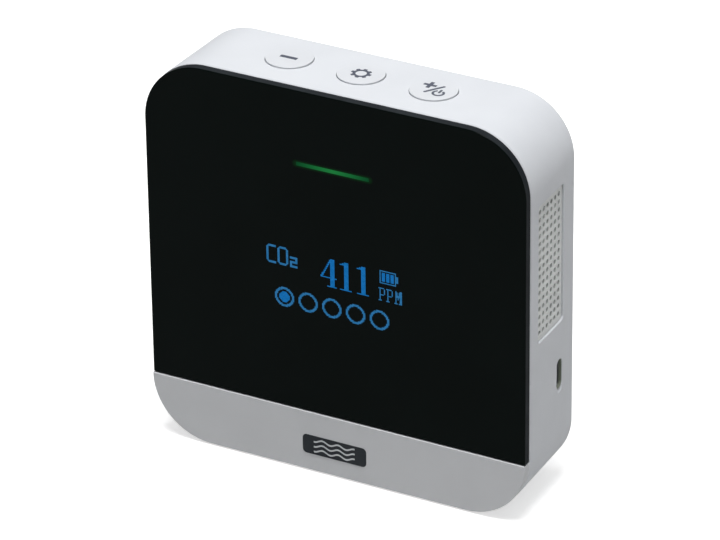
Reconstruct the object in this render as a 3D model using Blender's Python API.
"""Desk air quality monitor: a white band between a black front plate and a rear cover.

The monitor stands on four rubber feet. Its face looks along -Y, up is +Z, and
the origin is on the ground under its centre. Every position below is given as
(x, depth, height): depth is measured back from the face, height up from the
centre of the face. Units are metres.
"""

import math

import bmesh
import bpy
from mathutils import Vector

# Overall form
SIZE = 0.118
DEPTH = 0.032
CORNER_RADIUS = 0.0185
CORNER_STEPS = 10
FOOT_DROP = 0.0005
GAP = 0.0003

# Front plate: black panel above, grey trim below
PLATE_THICKNESS = 0.0028
PANEL_RECESS = 0.0003
TRIM_HEIGHT = 0.0187
EDGE_CHAMFER = 0.0003

# Housing band and rear cover
WALL = 0.0022
DRAFT_INSET = 0.0007
REAR_FILLET = 0.0018
REAR_FILLET_STEPS = 4
FRONT_CHAMFER = 0.0004
COVER_INSET = 0.0050
COVER_LEDGE = 0.0020
LEDGE_THICKNESS = 0.0015

# Buttons, on the top wall
BUTTON_SPACING = 0.0223
BUTTON_DEPTH = 0.0175
BUTTON_RADIUS = 0.0066
BUTTON_HOLE_RADIUS = 0.0069
BUTTON_PROUD = 0.0004
BUTTON_FLANGE_RADIUS = 0.0078
BUTTON_FLANGE_THICKNESS = 0.0011
BUTTON_STEM_RADIUS = 0.0016
BUTTON_TRAVEL = 0.0005
BUTTON_SIDES = 36

# Side vents
VENT_WIDTH = 0.0163
VENT_HEIGHT = 0.0419
VENT_RADIUS = 0.0012
VENT_DEPTH = 0.0162
VENT_CENTRE = 0.0150
VENT_COLUMNS = 6
VENT_ROWS = 16
VENT_COLUMN_PITCH = 0.00242
VENT_ROW_PITCH = 0.00247
VENT_HOLE_RADIUS = 0.00072
VENT_HOLE_SIDES = 6
VENT_RECESS = 0.0006
VENT_PLATE_THICKNESS = 0.0010
VENT_FLANGE_WIDTH = 0.0014
VENT_FLANGE_THICKNESS = 0.0010
VENT_RIM = 0.0005
VENT_CORNER_STEPS = 3

# Charging inlet
USB_HEIGHT = -0.0222
USB_DEPTH = 0.0222
USB_HOLE_LENGTH = 0.0092
USB_HOLE_WIDTH = 0.0034
USB_SHELL_LENGTH = 0.0089
USB_SHELL_WIDTH = 0.0030
USB_SHELL_REACH = 0.0073
USB_SHELL_WALL = 0.0003
USB_WALL = 0.0012
USB_POCKET_MARGIN = 0.0008
USB_TONGUE_LENGTH = 0.0067
USB_TONGUE_THICKNESS = 0.0007
USB_TONGUE_REACH = 0.0058
USB_END_STEPS = 8

# Green light bar
BAR_HEIGHT = 0.03675
BAR_LENGTH = 0.0225
BAR_THICKNESS = 0.0011
BAR_FLANGE_OVERHANG = 0.0020
LED_SIZE = (0.0032, 0.0011, 0.0016)
LED_BOARD_SIZE = (0.0280, 0.0010, 0.0060)

# Display
DISPLAY_HEIGHT = 0.0006
DISPLAY_WINDOW = (0.0460, 0.0250)
DISPLAY_GLASS = (0.0500, 0.0290, 0.0016)
DISPLAY_BOARD = (0.0600, 0.0360, 0.0012)

# Flat cable from the display board to the main board
RIBBON_WIDTH = 0.0120
RIBBON_THICKNESS = 0.0003
RIBBON_START_HEIGHT = 0.0080
RIBBON_BEND_START = 0.0130
RIBBON_BEND_END = 0.0230
RIBBON_END_HEIGHT = 0.0280
RIBBON_STEPS = 12

# Front frame
FRAME_INSET = 0.0026
FRAME_THICKNESS = 0.0020
BOSS_OFFSET = 0.0450
BOSS_RADIUS = 0.0032
BOSS_END = 0.0240
COVER_BOSS_RADIUS = 0.0038
SCREW_SEAT = 0.0280
POST_X = 0.0470
POST_HEIGHT = 0.0360
POST_RADIUS = 0.0026
ROUND_SIDES = 20

# Main board
BOARD_WIDTH = 0.1080
BOARD_BOTTOM = -0.0500
BOARD_TOP = 0.0500
BOARD_NOTCH = 0.0410
BOARD_FRONT = 0.0192
BOARD_THICKNESS = 0.0012

# Gas sensor, on the rear of the main board beside the right vent
GAS_SENSOR_X = 0.0380
GAS_BOARD_SIZE = (0.0200, 0.0010, 0.0330)
GAS_CHAMBER_SIZE = (0.0165, 0.0050, 0.0250)
GAS_BOARD_STANDOFF = 0.0010

# Battery, between the display and the main board
BATTERY_SIZE = (0.0600, 0.0085, 0.0340)
BATTERY_RADIUS = 0.0020
BATTERY_DEPTH = 0.0096
BATTERY_HEIGHT = -0.0260
SOCKET_SIZE = (0.0060, 0.0050, 0.0080)
SOCKET_X = -0.0410
LEAD_RADIUS = 0.0008
LEAD_STEPS = 6

# Smaller devices on the main board: size, x and height
WIRELESS = ((0.0180, 0.0031, 0.0255), -0.0300, 0.0220)
PROCESSOR = ((0.0100, 0.0012, 0.0100), 0.0, 0.0080)
CLIMATE = ((0.0030, 0.0010, 0.0030), -0.0500, 0.0154)
BUZZER_RADIUS = 0.00475
BUZZER_LENGTH = 0.0040
BUZZER_PLACE = (-0.0300, -0.0320)
BUZZER_HOLE_RADIUS = 0.0010

# Screws
SCREW_SIDES = 14
CASE_SHANK_RADIUS = 0.0013
CASE_HEAD_RADIUS = 0.0026
CASE_HEAD_HEIGHT = 0.0018
CASE_SHANK_LENGTH = 0.0160
CASE_RECESS_RADIUS = 0.0031
BOARD_SHANK_RADIUS = 0.0011
BOARD_HEAD_RADIUS = 0.0022
BOARD_HEAD_HEIGHT = 0.0014
BOARD_SHANK_LENGTH = 0.0075
CROSS_WIDTH = 0.0007
CROSS_SHARE = 0.65
CROSS_DEPTH = 0.0009

# Tact switches
SWITCH_SIZE = (0.0064, 0.0029, 0.0040)
SWITCH_TOP = 0.0503
PLUNGER_RADIUS = 0.00085
PLUNGER_LENGTH = 0.0028
PLUNGER_TOP = 0.0516
PLUNGER_SIDES = 16

# Feet
FOOT_RADIUS = 0.0040
FOOT_X = 0.0340
FOOT_SPREAD = 0.0080
FOOT_THICKNESS = 0.0015

FRONT_Y = -DEPTH / 2
CENTRE_Z = FOOT_DROP + SIZE / 2
HOUSING_FRONT = PLATE_THICKNESS + GAP
HOUSING_LENGTH = DEPTH - HOUSING_FRONT
DRAFT_ANGLE = math.atan(DRAFT_INSET / HOUSING_LENGTH)
BOARD_REAR = BOARD_FRONT + BOARD_THICKNESS
CORNERS = [(1, 1), (-1, 1), (-1, -1), (1, -1)]
SIDES = {"left": -1, "middle": 0, "right": 1}

WHITE_PLASTIC = ("white_plastic", (0.80, 0.82, 0.84), 0.45, 0.0)
GREY_PLASTIC = ("grey_plastic", (0.62, 0.64, 0.66), 0.42, 0.0)
BLACK_ACRYLIC = ("black_acrylic", (0.010, 0.012, 0.012), 0.08, 0.0)
DARK_PLASTIC = ("dark_plastic", (0.03, 0.03, 0.035), 0.55, 0.0)
GREEN_DIFFUSER = ("green_diffuser", (0.05, 0.55, 0.15), 0.35, 0.0)
DISPLAY_GLASS_LOOK = ("display_glass", (0.02, 0.05, 0.09), 0.05, 0.0)
CIRCUIT_GREEN = ("circuit_board", (0.02, 0.16, 0.07), 0.50, 0.0)
STEEL = ("steel", (0.55, 0.55, 0.57), 0.30, 1.0)
GOLD_PLATE = ("gold_plate", (0.80, 0.58, 0.22), 0.28, 1.0)
CHIP_BLACK = ("chip_black", (0.02, 0.02, 0.02), 0.60, 0.0)
LED_WHITE = ("led_white", (0.85, 0.85, 0.78), 0.40, 0.0)
BATTERY_WRAP = ("battery_wrap", (0.08, 0.20, 0.45), 0.35, 0.0)
RUBBER = ("rubber", (0.03, 0.03, 0.03), 0.85, 0.0)
RIBBON = ("ribbon_film", (0.75, 0.72, 0.66), 0.40, 0.0)


def clear_scene():
    """Remove every object of the open file."""
    for old in list(bpy.data.objects):
        bpy.data.objects.remove(old)


def material(look):
    """Return the Principled material of a look, made on first use."""
    name, colour, roughness, metallic = look
    found = bpy.data.materials.get(name)
    if found:
        return found
    made = bpy.data.materials.new(name)
    made.use_nodes = True
    shader = made.node_tree.nodes["Principled BSDF"]
    shader.inputs["Base Color"].default_value = (*colour, 1.0)
    shader.inputs["Roughness"].default_value = roughness
    shader.inputs["Metallic"].default_value = metallic
    return made


def rounded_outline(width, height, radius, steps=CORNER_STEPS):
    """Points (x, z) of a rounded rectangle about the origin."""
    points = []
    for quarter, (side, level) in enumerate(CORNERS):
        centre_x = side * (width / 2 - radius)
        centre_z = level * (height / 2 - radius)
        for step in range(steps + 1):
            angle = (quarter + step / steps) * math.pi / 2
            points.append((centre_x + radius * math.cos(angle), centre_z + radius * math.sin(angle)))
    return points


def body_outline(inset):
    """The monitor's face outline, moved inwards."""
    return rounded_outline(SIZE - 2 * inset, SIZE - 2 * inset, CORNER_RADIUS - inset)


def rectangle(width, height):
    """Corner points (x, z) of a rectangle about the origin."""
    return [(side * width / 2, level * height / 2) for side, level in CORNERS]


def slot_outline(width, length, steps):
    """Points (x, z) of an upright slot with round ends."""
    radius = width / 2
    points = []
    for level in (1, -1):
        for step in range(steps + 1):
            angle = math.pi * step / steps
            x = level * radius * math.cos(angle)
            points.append((x, level * (length / 2 - radius + radius * math.sin(angle))))
    return points


def layer(outline, depth):
    """An outline as a ring of points at one depth."""
    return [Vector((x, depth, z)) for x, z in outline]


def circle(radius, sides):
    """Points (x, z) of a regular polygon about the origin."""
    turns = [2 * math.pi * index / sides for index in range(sides)]
    return [(radius * math.cos(turn), radius * math.sin(turn)) for turn in turns]


def join_loops(shape, lower, upper):
    """A band of faces between two equal loops of corners."""
    for index, corner in enumerate(lower):
        following = (index + 1) % len(lower)
        shape.faces.new((corner, lower[following], upper[following], upper[index]))


def add_solid(shape, rings):
    """Close a stack of equal rings into one body of the mesh being built."""
    loops = [[shape.verts.new(point) for point in ring] for ring in rings]
    for lower, upper in zip(loops, loops[1:]):
        join_loops(shape, lower, upper)
    shape.faces.new(list(reversed(loops[0])))
    shape.faces.new(loops[-1])


def finish_object(name, shape, look=None):
    """Turn the mesh being built into a named object of the scene."""
    bmesh.ops.recalc_face_normals(shape, faces=shape.faces)
    mesh = bpy.data.meshes.new(name)
    shape.to_mesh(mesh)
    shape.free()
    if look:
        mesh.materials.append(material(look))
    smooth_rounds(mesh)
    made = bpy.data.objects.new(name, mesh)
    bpy.context.scene.collection.objects.link(made)
    return made


def smooth_rounds(mesh):
    """Shade round faces smooth and keep the real edges sharp."""
    mesh.shade_smooth()
    mesh.set_sharp_from_angle(angle=math.radians(35))


def solid(name, rings, look=None):
    """One object made of one stack of rings."""
    shape = bmesh.new()
    add_solid(shape, rings)
    return finish_object(name, shape, look)


def hoop(name, rings, look=None):
    """One band-shaped object: its last ring joins its first, so it stays open through."""
    shape = bmesh.new()
    loops = [[shape.verts.new(point) for point in ring] for ring in rings]
    for lower, upper in zip(loops, loops[1:] + loops[:1]):
        join_loops(shape, lower, upper)
    return finish_object(name, shape, look)


def plate(name, outline, thickness, look=None):
    """A flat piece that runs back from its own origin."""
    return solid(name, [layer(outline, 0.0), layer(outline, thickness)], look)


def block(name, size, look=None):
    """A box about its own centre in x and z that runs back from its origin."""
    width, thickness, height = size
    return plate(name, rectangle(width, height), thickness, look)


def turned(name, profile, sides, look=None):
    """A round piece about the depth axis; profile lists (depth, radius)."""
    return solid(name, [layer(circle(radius, sides), depth) for depth, radius in profile], look)


def ease(share):
    """Smooth rise from 0 to 1."""
    return share * share * (3 - 2 * share)


def place(part, x, depth, height, parent):
    """Put a piece at its place and hang it on its parent."""
    part.location = Vector((x, FRONT_Y + depth, CENTRE_Z + height)) - parent.location
    part.parent = parent


def apply_boolean(target, tool, operation):
    """Join the tool to the target or cut it out, then discard the tool."""
    modifier = target.modifiers.new("shape", "BOOLEAN")
    modifier.operation = operation
    modifier.solver = "EXACT"
    modifier.object = tool
    depsgraph = bpy.context.evaluated_depsgraph_get()
    shaped = bpy.data.meshes.new_from_object(target.evaluated_get(depsgraph))
    target.modifiers.clear()
    target.data = shaped
    bpy.data.objects.remove(tool)
    smooth_rounds(shaped)


def merge(target, tool):
    """Join the tool's body to the target."""
    apply_boolean(target, tool, "UNION")


def cut(target, tool):
    """Cut the tool's body out of the target."""
    apply_boolean(target, tool, "DIFFERENCE")


def empty_at(name, x, depth, height):
    """An empty that carries pieces, such as one on a button's travel axis."""
    made = bpy.data.objects.new(name, None)
    bpy.context.scene.collection.objects.link(made)
    made.location = (x, FRONT_Y + depth, CENTRE_Z + height)
    return made


def wall_inset(depth):
    """How far the drafted outer wall has moved inwards at a depth."""
    return DRAFT_INSET * (depth - HOUSING_FRONT) / HOUSING_LENGTH


def corner_spots(x, height):
    """The four mirrored places (x, height) of a corner feature."""
    return [(side * x, level * height) for side, level in CORNERS]


def cylinder_tool(x, height, start, end, radius, sides=ROUND_SIDES):
    """A cutter or boss that runs from one depth to another."""
    tool = turned("tool", [(start, radius), (end, radius)], sides)
    tool.location = (x, 0.0, height)
    return tool


# Housing and rear cover -----------------------------------------------------

def housing_rings():
    """Rings round the band's section: lip, outer wall, rear edge, cover seat, inner wall."""
    fillet_start = DEPTH - REAR_FILLET
    fillet_inset = wall_inset(fillet_start)
    profile = [
        (HOUSING_FRONT, WALL),
        (HOUSING_FRONT, FRONT_CHAMFER),
        (HOUSING_FRONT + FRONT_CHAMFER, wall_inset(HOUSING_FRONT + FRONT_CHAMFER)),
        (fillet_start, fillet_inset),
    ]
    for step in range(1, REAR_FILLET_STEPS + 1):
        turn = math.pi / 2 * step / REAR_FILLET_STEPS
        depth = fillet_start + REAR_FILLET * math.sin(turn)
        profile.append((depth, fillet_inset + REAR_FILLET * (1 - math.cos(turn))))
    seat = DEPTH - WALL
    ledge_front = seat - LEDGE_THICKNESS
    ledge_inset = COVER_INSET + COVER_LEDGE
    profile += [
        (DEPTH, COVER_INSET),
        (seat, COVER_INSET),
        (seat, ledge_inset),
        (ledge_front, ledge_inset),
        (ledge_front, wall_inset(ledge_front) + WALL),
    ]
    return [layer(body_outline(inset), depth) for depth, inset in profile]


def cut_button_holes(housing):
    """Three round holes in the top wall."""
    for side in SIDES.values():
        profile = [(-2 * WALL, BUTTON_HOLE_RADIUS), (2 * WALL, BUTTON_HOLE_RADIUS)]
        hole = turned("tool", profile, BUTTON_SIDES)
        hole.rotation_euler = (math.pi / 2, 0.0, 0.0)
        hole.location = (side * BUTTON_SPACING, BUTTON_DEPTH, SIZE / 2)
        cut(housing, hole)


def cut_vent_openings(housing):
    """A rounded opening in each side wall."""
    for side in (-1, 1):
        outline = rounded_outline(VENT_WIDTH, VENT_HEIGHT, VENT_RADIUS, VENT_CORNER_STEPS)
        opening = plate("tool", outline, 3 * WALL)
        opening.rotation_euler = (0.0, 0.0, side * (math.pi / 2 + DRAFT_ANGLE))
        opening.location = (side * (SIZE / 2 + WALL), VENT_DEPTH, VENT_CENTRE)
        cut(housing, opening)


def cut_usb_opening(housing):
    """The inlet's slot, through the right wall, which is thinned from inside there."""
    outline = slot_outline(USB_HOLE_WIDTH, USB_HOLE_LENGTH, USB_END_STEPS)
    slot = plate("tool", outline, 3 * WALL)
    slot.rotation_euler = (0.0, 0.0, math.pi / 2)
    slot.location = (SIZE / 2 + WALL, USB_DEPTH, USB_HEIGHT)
    cut(housing, slot)
    margin = 2 * USB_POCKET_MARGIN
    outline = slot_outline(USB_HOLE_WIDTH + margin, USB_HOLE_LENGTH + margin, USB_END_STEPS)
    pocket = plate("tool", outline, 3 * WALL)
    pocket.rotation_euler = (0.0, 0.0, math.pi / 2)
    pocket.location = (SIZE / 2 - wall_inset(USB_DEPTH) - USB_WALL, USB_DEPTH, USB_HEIGHT)
    cut(housing, pocket)


def cut_foot_pockets(housing):
    """Four round seats for the feet, in the bottom wall."""
    radius = FOOT_RADIUS + GAP
    reach = FOOT_THICKNESS + GAP
    for x, spread in corner_spots(FOOT_X, FOOT_SPREAD):
        pocket = turned("tool", [(-reach, radius), (reach, radius)], ROUND_SIDES)
        pocket.rotation_euler = (math.pi / 2, 0.0, 0.0)
        pocket.location = (x, DEPTH / 2 + spread, -CENTRE_Z)
        cut(housing, pocket)


def make_housing(base):
    """The white band, with every opening in its walls."""
    housing = hoop("housing_shell", housing_rings(), WHITE_PLASTIC)
    cut_button_holes(housing)
    cut_vent_openings(housing)
    cut_usb_opening(housing)
    cut_foot_pockets(housing)
    place(housing, 0.0, 0.0, 0.0, base)


def make_rear_cover(base):
    """The flat back, with a boss and a recess for each case screw."""
    front = DEPTH - WALL + GAP
    rings = [layer(body_outline(COVER_INSET + GAP), depth) for depth in (front, DEPTH)]
    cover = solid("rear_cover", rings, WHITE_PLASTIC)
    for x, height in corner_spots(BOSS_OFFSET, BOSS_OFFSET):
        merge(cover, cylinder_tool(x, height, BOSS_END + GAP, DEPTH - WALL / 2, COVER_BOSS_RADIUS))
        cut(cover, cylinder_tool(x, height, SCREW_SEAT, DEPTH + WALL, CASE_RECESS_RADIUS))
        cut(cover, cylinder_tool(x, height, BOSS_END - WALL, DEPTH, CASE_SHANK_RADIUS + GAP))
    place(cover, 0.0, 0.0, 0.0, base)


def make_feet(base):
    """Four rubber discs under the bottom wall."""
    for number, (x, spread) in enumerate(corner_spots(FOOT_X, FOOT_SPREAD), start=1):
        edge = FOOT_RADIUS - EDGE_CHAMFER
        profile = [(0.0, edge), (EDGE_CHAMFER, FOOT_RADIUS), (FOOT_THICKNESS, FOOT_RADIUS)]
        foot = turned(f"foot_{number}", profile, ROUND_SIDES, RUBBER)
        foot.rotation_euler = (math.pi / 2, 0.0, 0.0)
        place(foot, x, DEPTH / 2 + spread, -CENTRE_Z, base)


# Vent grilles -------------------------------------------------------------

def grille_rings():
    """Rings of a hat-shaped insert with a pocket behind its plate."""
    width = VENT_WIDTH - 2 * GAP
    height = VENT_HEIGHT - 2 * GAP
    inset = 2 * VENT_RIM
    outset = 2 * VENT_FLANGE_WIDTH
    rim_end = WALL + GAP
    flange_end = rim_end + VENT_FLANGE_THICKNESS
    floor = VENT_RECESS + VENT_PLATE_THICKNESS
    pocket = rounded_outline(width - inset, height - inset, VENT_RADIUS - VENT_RIM, VENT_CORNER_STEPS)
    body = rounded_outline(width, height, VENT_RADIUS, VENT_CORNER_STEPS)
    flange = rounded_outline(width + outset, height + outset, VENT_RADIUS, VENT_CORNER_STEPS)
    stack = [(pocket, floor), (pocket, flange_end), (flange, flange_end), (flange, rim_end)]
    stack += [(body, rim_end), (body, VENT_RECESS)]
    return [layer(outline, depth) for outline, depth in stack]


def grille_holes():
    """All the small air holes as one cutter."""
    shape = bmesh.new()
    outline = circle(VENT_HOLE_RADIUS, VENT_HOLE_SIDES)
    for column in range(VENT_COLUMNS):
        x = (column - (VENT_COLUMNS - 1) / 2) * VENT_COLUMN_PITCH
        for row in range(VENT_ROWS):
            z = (row - (VENT_ROWS - 1) / 2) * VENT_ROW_PITCH
            moved = [(x + point_x, z + point_z) for point_x, point_z in outline]
            add_solid(shape, [layer(moved, -WALL), layer(moved, 2 * WALL)])
    return finish_object("tool", shape)


def make_grille(name, side, base):
    """One side's vent insert, lying on the drafted wall."""
    grille = solid(name, grille_rings(), WHITE_PLASTIC)
    cut(grille, grille_holes())
    grille.rotation_euler = (0.0, 0.0, side * (math.pi / 2 + DRAFT_ANGLE))
    place(grille, side * (SIZE / 2 - wall_inset(VENT_DEPTH)), VENT_DEPTH, VENT_CENTRE, base)


# Front plate --------------------------------------------------------------

def half_outline(inset, top):
    """The part of the face outline above or below the seam."""
    seam = TRIM_HEIGHT - SIZE / 2
    edge = seam + GAP / 2 + inset if top else seam - GAP / 2 - inset
    outline = body_outline(inset)
    half = len(outline) // 2
    corners = outline[:half] if top else outline[half:]
    side = SIZE / 2 - inset
    ends = [(-side, edge), (side, edge)] if top else [(side, edge), (-side, edge)]
    return corners + ends


def plate_rings(top):
    """Rings of one part of the front plate, with a fine chamfer; the panel is set back a little."""
    front = PANEL_RECESS if top else 0.0
    stack = [(EDGE_CHAMFER, front), (0.0, front + EDGE_CHAMFER), (0.0, PLATE_THICKNESS)]
    return [layer(half_outline(inset, top), depth) for inset, depth in stack]


def bar_slot(depth):
    """Cutter for the light bar's slot, from the face to a depth."""
    slot = block("tool", (BAR_LENGTH + 2 * GAP, 2 * depth, BAR_THICKNESS + 2 * GAP))
    slot.location = (0.0, -depth / 2, BAR_HEIGHT)
    return slot


def make_front_plate(base):
    """The black panel with its light slot, and the grey trim."""
    panel = solid("front_panel", plate_rings(True), BLACK_ACRYLIC)
    cut(panel, bar_slot(2 * PLATE_THICKNESS))
    place(panel, 0.0, 0.0, 0.0, base)
    trim = solid("bottom_trim", plate_rings(False), GREY_PLASTIC)
    place(trim, 0.0, 0.0, 0.0, base)


# Front frame --------------------------------------------------------------

def make_frame(base):
    """The carrier behind the front plate, with bosses and posts."""
    frame_rear = HOUSING_FRONT + FRAME_THICKNESS
    rings = [layer(body_outline(FRAME_INSET), depth) for depth in (HOUSING_FRONT, frame_rear)]
    frame = solid("front_frame", rings, DARK_PLASTIC)
    root = HOUSING_FRONT + FRAME_THICKNESS / 2
    for x, height in corner_spots(BOSS_OFFSET, BOSS_OFFSET):
        merge(frame, cylinder_tool(x, height, root, BOSS_END, BOSS_RADIUS))
        pilot_start = BOSS_END - CASE_SHANK_LENGTH + FRAME_THICKNESS
        cut(frame, cylinder_tool(x, height, pilot_start, DEPTH, CASE_SHANK_RADIUS + GAP))
    post_end = BOARD_FRONT - GAP
    for x, height in corner_spots(POST_X, POST_HEIGHT):
        merge(frame, cylinder_tool(x, height, root, post_end, POST_RADIUS))
        pilot_start = post_end - BOARD_SHANK_LENGTH
        cut(frame, cylinder_tool(x, height, pilot_start, DEPTH, BOARD_SHANK_RADIUS + GAP))
    width, height = DISPLAY_WINDOW
    window = block("tool", (width, DEPTH / 2, height))
    window.location = (0.0, 0.0, DISPLAY_HEIGHT)
    cut(frame, window)
    cut(frame, bar_slot(2 * frame_rear))
    place(frame, 0.0, 0.0, 0.0, base)


# Display and light bar ----------------------------------------------------

def make_display(base):
    """Display glass on its own board, behind the frame's window."""
    width, height, thickness = DISPLAY_GLASS
    glass_front = HOUSING_FRONT + FRAME_THICKNESS + GAP
    glass = block("display_glass", (width, thickness, height), DISPLAY_GLASS_LOOK)
    place(glass, 0.0, glass_front, DISPLAY_HEIGHT, base)
    board_width, board_height, board_thickness = DISPLAY_BOARD
    board = block("display_board", (board_width, board_thickness, board_height), CIRCUIT_GREEN)
    board_front = glass_front + thickness + GAP
    place(board, 0.0, board_front, DISPLAY_HEIGHT, base)
    make_ribbon(board_front + board_thickness + GAP, base)


def make_ribbon(start_depth, base):
    """Flat cable that swings from the display board up to the main board."""
    half = RIBBON_THICKNESS / 2
    first_depth = start_depth + half
    last_depth = BOARD_FRONT - GAP - half
    path = [(first_depth, RIBBON_START_HEIGHT)]
    for step in range(RIBBON_STEPS + 1):
        share = step / RIBBON_STEPS
        depth = first_depth + (last_depth - first_depth) * ease(share)
        path.append((depth, RIBBON_BEND_START + (RIBBON_BEND_END - RIBBON_BEND_START) * share))
    path.append((last_depth, RIBBON_END_HEIGHT))
    outline_front, outline_rear = [], []
    for index, (depth, height) in enumerate(path):
        before = path[max(index - 1, 0)]
        after = path[min(index + 1, len(path) - 1)]
        along = Vector((after[0] - before[0], after[1] - before[1])).normalized() * half
        outline_front.append((depth - along.y, height + along.x))
        outline_rear.append((depth + along.y, height - along.x))
    outline = outline_front + list(reversed(outline_rear))
    edges = (-RIBBON_WIDTH / 2, RIBBON_WIDTH / 2)
    rings = [[Vector((x, depth, z)) for depth, z in outline] for x in edges]
    ribbon = solid("display_ribbon", rings, RIBBON)
    place(ribbon, 0.0, 0.0, 0.0, base)


def make_light_bar(base):
    """Diffuser bar in the front plate, with three LEDs behind it."""
    flange_front = HOUSING_FRONT + FRAME_THICKNESS + GAP
    bar_end = flange_front + BAR_THICKNESS
    bar = rectangle(BAR_LENGTH, BAR_THICKNESS)
    flange = rectangle(BAR_LENGTH + 2 * BAR_FLANGE_OVERHANG, 3 * BAR_THICKNESS)
    stack = [(bar, PANEL_RECESS), (bar, flange_front), (flange, flange_front), (flange, bar_end)]
    guide = solid("light_guide", [layer(outline, depth) for outline, depth in stack], GREEN_DIFFUSER)
    place(guide, 0.0, 0.0, BAR_HEIGHT, base)
    for name, side in SIDES.items():
        led = block(f"led_{name}", LED_SIZE, LED_WHITE)
        place(led, side * BAR_LENGTH / 3, bar_end + GAP, BAR_HEIGHT, base)
    board = block("led_board", LED_BOARD_SIZE, CIRCUIT_GREEN)
    place(board, 0.0, bar_end + LED_SIZE[1] + 2 * GAP, BAR_HEIGHT, base)


# Buttons and switches -----------------------------------------------------

def make_cap(name, anchor, x, base):
    """A cap that stands slightly proud, with a flange and a stem down to its switch."""
    surface = SIZE / 2 - wall_inset(BUTTON_DEPTH)
    flange_top = surface - WALL - GAP - BUTTON_FLANGE_RADIUS * math.tan(DRAFT_ANGLE)
    flange_bottom = flange_top - BUTTON_FLANGE_THICKNESS
    stem_bottom = PLUNGER_TOP + GAP
    top = surface + BUTTON_PROUD
    shoulder = top - EDGE_CHAMFER / 2
    profile = [
        (stem_bottom, BUTTON_STEM_RADIUS),
        (flange_bottom, BUTTON_STEM_RADIUS),
        (flange_bottom, BUTTON_FLANGE_RADIUS),
        (flange_top, BUTTON_FLANGE_RADIUS),
        (flange_top, BUTTON_RADIUS),
        (shoulder, BUTTON_RADIUS),
        (top, BUTTON_RADIUS - EDGE_CHAMFER / 2),
    ]
    rings = []
    for height, radius in profile:
        lean = math.tan(DRAFT_ANGLE) if height >= shoulder else 0.0
        flat = circle(radius, BUTTON_SIDES)
        rings.append([Vector((px, py, height - surface - lean * py)) for px, py in flat])
    cap = solid(name, rings, WHITE_PLASTIC)
    place(cap, x, BUTTON_DEPTH, surface, anchor)


def make_switch(name, x, base):
    """A side-pressed tact switch on the front of the main board."""
    width, thickness, height = SWITCH_SIZE
    body = block(f"switch_body_{name}", SWITCH_SIZE, CHIP_BLACK)
    bore_radius = PLUNGER_RADIUS + GAP
    bore_bottom = PLUNGER_TOP - PLUNGER_LENGTH - BUTTON_TRAVEL - GAP / 2
    bore = turned("tool", [(0.0, bore_radius), (height, bore_radius)], PLUNGER_SIDES)
    bore.rotation_euler = (math.pi / 2, 0.0, 0.0)
    centre = SWITCH_TOP - height / 2
    bore.location = (0.0, thickness / 2, bore_bottom - centre)
    cut(body, bore)
    place(body, x, BUTTON_DEPTH - thickness / 2, centre, base)


def make_plunger(name, anchor, x):
    """The switch's plunger, which travels with its cap."""
    profile = [(0.0, PLUNGER_RADIUS), (PLUNGER_LENGTH, PLUNGER_RADIUS)]
    plunger = turned(f"switch_plunger_{name}", profile, PLUNGER_SIDES, DARK_PLASTIC)
    plunger.rotation_euler = (math.pi / 2, 0.0, 0.0)
    place(plunger, x, BUTTON_DEPTH, PLUNGER_TOP - PLUNGER_LENGTH, anchor)


def make_buttons(base):
    """Three caps, each on its own travel axis, with their switches."""
    for name, side in SIDES.items():
        x = side * BUTTON_SPACING
        anchor = empty_at(f"button_axis_{name}", x, BUTTON_DEPTH, SIZE / 2)
        make_cap(f"button_cap_{name}", anchor, x, base)
        make_plunger(name, anchor, x)
        make_switch(name, x, base)


# Main board and what it carries -------------------------------------------

def board_outline():
    """The board's edge, notched at the corners for the screw bosses."""
    half = BOARD_WIDTH / 2
    notch = BOARD_NOTCH
    return [
        (half, -notch), (half, notch), (notch, notch), (notch, BOARD_TOP),
        (-notch, BOARD_TOP), (-notch, notch), (-half, notch), (-half, -notch),
        (-notch, -notch), (-notch, BOARD_BOTTOM), (notch, BOARD_BOTTOM), (notch, -notch),
    ]


def make_board(base):
    """The main printed circuit board, drilled for its four screws."""
    board = plate("main_board", board_outline(), BOARD_THICKNESS, CIRCUIT_GREEN)
    for x, height in corner_spots(POST_X, POST_HEIGHT):
        cut(board, cylinder_tool(x, height, -WALL, 2 * WALL, BOARD_SHANK_RADIUS + GAP))
    place(board, 0.0, BOARD_FRONT, 0.0, base)


def make_usb(base):
    """The charging inlet on the rear of the board, behind its slot."""
    mouth = SIZE / 2 - wall_inset(USB_DEPTH) - USB_WALL - GAP
    outer = slot_outline(USB_SHELL_WIDTH, USB_SHELL_LENGTH, USB_END_STEPS)
    inner_width = USB_SHELL_WIDTH - 2 * USB_SHELL_WALL
    inner = slot_outline(inner_width, USB_SHELL_LENGTH - 2 * USB_SHELL_WALL, USB_END_STEPS)
    floor = USB_SHELL_REACH - USB_SHELL_WALL
    stack = [(inner, floor), (inner, 0.0), (outer, 0.0), (outer, USB_SHELL_REACH)]
    shell = solid("usb_shell", [layer(outline, depth) for outline, depth in stack], STEEL)
    shell.rotation_euler = (0.0, 0.0, math.pi / 2)
    place(shell, mouth, USB_DEPTH, USB_HEIGHT, base)
    tongue_size = (USB_TONGUE_THICKNESS, USB_TONGUE_REACH, USB_TONGUE_LENGTH)
    tongue = block("usb_tongue", tongue_size, CHIP_BLACK)
    tongue.rotation_euler = (0.0, 0.0, math.pi / 2)
    place(tongue, mouth - floor + GAP + USB_TONGUE_REACH, USB_DEPTH, USB_HEIGHT, base)


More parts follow.
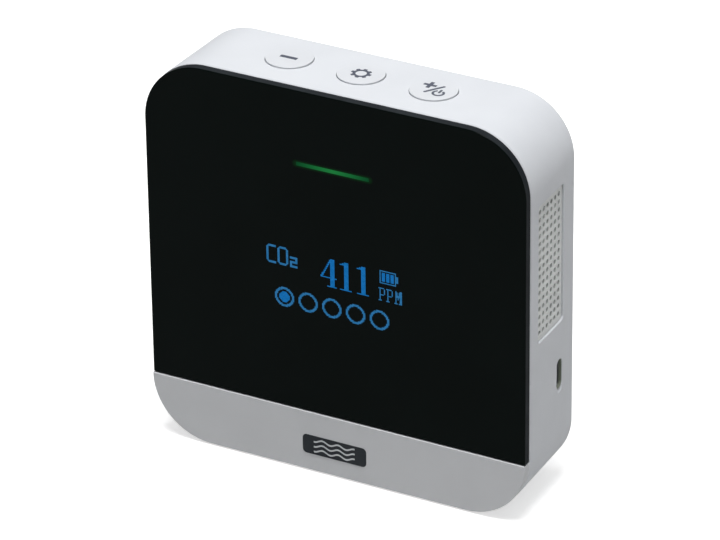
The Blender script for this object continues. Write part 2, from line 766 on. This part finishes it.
def make_gas_sensor(base):
    """Infrared gas sensor: a chamber on a small board, near the right vent."""
    board_front = BOARD_REAR + GAS_BOARD_STANDOFF
    board = block("co2_board", GAS_BOARD_SIZE, CIRCUIT_GREEN)
    place(board, GAS_SENSOR_X, board_front, VENT_CENTRE, base)
    chamber = block("co2_chamber", GAS_CHAMBER_SIZE, GOLD_PLATE)
    place(chamber, GAS_SENSOR_X, board_front + GAS_BOARD_SIZE[1] + GAP, VENT_CENTRE, base)


def make_chips(base):
    """Smaller devices on the main board's two faces."""
    rear = BOARD_REAR + GAP
    size, x, height = WIRELESS
    place(block("wireless_module", size, STEEL), x, rear, height, base)
    size, x, height = PROCESSOR
    place(block("microcontroller", size, CHIP_BLACK), x, rear, height, base)
    size, x, height = CLIMATE
    place(block("climate_sensor", size, CHIP_BLACK), x, BOARD_FRONT - GAP - size[1], height, base)
    buzzer_profile = [(0.0, BUZZER_RADIUS), (BUZZER_LENGTH, BUZZER_RADIUS)]
    buzzer = turned("buzzer", buzzer_profile, ROUND_SIDES, DARK_PLASTIC)
    hole_profile = [(BUZZER_LENGTH / 2, BUZZER_HOLE_RADIUS), (2 * BUZZER_LENGTH, BUZZER_HOLE_RADIUS)]
    cut(buzzer, turned("tool", hole_profile, SCREW_SIDES))
    x, height = BUZZER_PLACE
    place(buzzer, x, rear, height, base)


def make_battery(base):
    """Flat cell between the display and the main board, with its lead."""
    width, thickness, height = BATTERY_SIZE
    corners = rounded_outline(width, height, BATTERY_RADIUS, VENT_CORNER_STEPS)
    cell = plate("battery", corners, thickness, BATTERY_WRAP)
    place(cell, 0.0, BATTERY_DEPTH, BATTERY_HEIGHT, base)
    socket_width, socket_thickness, _ = SOCKET_SIZE
    socket_front = BOARD_FRONT - GAP - socket_thickness
    socket = block("battery_socket", SOCKET_SIZE, LED_WHITE)
    place(socket, SOCKET_X, socket_front, BATTERY_HEIGHT, base)
    start = (-width / 2 - GAP, BATTERY_DEPTH + thickness / 2)
    end = (SOCKET_X + socket_width / 2 + GAP, socket_front + socket_thickness / 2)
    make_lead(start, end, base)


def make_lead(start, end, base):
    """The cell's lead: a short tube with a gentle S bend."""
    data = bpy.data.curves.new("battery_lead", "CURVE")
    data.dimensions = "3D"
    data.bevel_depth = LEAD_RADIUS
    data.bevel_resolution = 2
    data.use_fill_caps = True
    spline = data.splines.new("POLY")
    spline.points.add(LEAD_STEPS)
    for step in range(LEAD_STEPS + 1):
        share = step / LEAD_STEPS
        x = start[0] + (end[0] - start[0]) * share
        depth = start[1] + (end[1] - start[1]) * ease(share)
        spline.points[step].co = (x, depth, 0.0, 1.0)
    data.materials.append(material(RUBBER))
    lead = bpy.data.objects.new("battery_lead", data)
    bpy.context.scene.collection.objects.link(lead)
    place(lead, 0.0, 0.0, BATTERY_HEIGHT, base)


# Screws -------------------------------------------------------------------

def make_screw(name, head, shank, base, x, seat, height):
    """A cross-head screw driven from the back; its head rests on the seat."""
    head_radius, head_height = head
    shank_radius, shank_length = shank
    profile = [
        (-shank_length, shank_radius - GAP),
        (-shank_length + GAP, shank_radius),
        (0.0, shank_radius),
        (0.0, head_radius),
        (head_height - EDGE_CHAMFER, head_radius),
        (head_height, head_radius - EDGE_CHAMFER),
    ]
    screw = turned(name, profile, SCREW_SIDES, STEEL)
    cross_length = CROSS_SHARE * 2 * head_radius
    for width, length in ((cross_length, CROSS_WIDTH), (CROSS_WIDTH, cross_length)):
        slot = block("tool", (width, CROSS_DEPTH * 2, length))
        slot.location = (0.0, head_height - CROSS_DEPTH, 0.0)
        cut(screw, slot)
    place(screw, x, seat + GAP, height, base)


def make_screws(base):
    """Four case screws from the back, four screws for the main board."""
    case_head = (CASE_HEAD_RADIUS, CASE_HEAD_HEIGHT)
    case_shank = (CASE_SHANK_RADIUS, CASE_SHANK_LENGTH)
    for number, (x, height) in enumerate(corner_spots(BOSS_OFFSET, BOSS_OFFSET), start=1):
        make_screw(f"case_screw_{number}", case_head, case_shank, base, x, SCREW_SEAT, height)
    board_head = (BOARD_HEAD_RADIUS, BOARD_HEAD_HEIGHT)
    board_shank = (BOARD_SHANK_RADIUS, BOARD_SHANK_LENGTH)
    for number, (x, height) in enumerate(corner_spots(POST_X, POST_HEIGHT), start=1):
        make_screw(f"board_screw_{number}", board_head, board_shank, base, x, BOARD_REAR, height)


def main():
    clear_scene()
    base = empty_at("air_monitor", 0.0, 0.0, 0.0)
    make_housing(base)
    make_rear_cover(base)
    make_feet(base)
    make_grille("vent_grille_right", 1, base)
    make_grille("vent_grille_left", -1, base)
    make_front_plate(base)
    make_frame(base)
    make_display(base)
    make_light_bar(base)
    make_buttons(base)
    make_board(base)
    make_usb(base)
    make_gas_sensor(base)
    make_chips(base)
    make_battery(base)
    make_screws(base)


main()
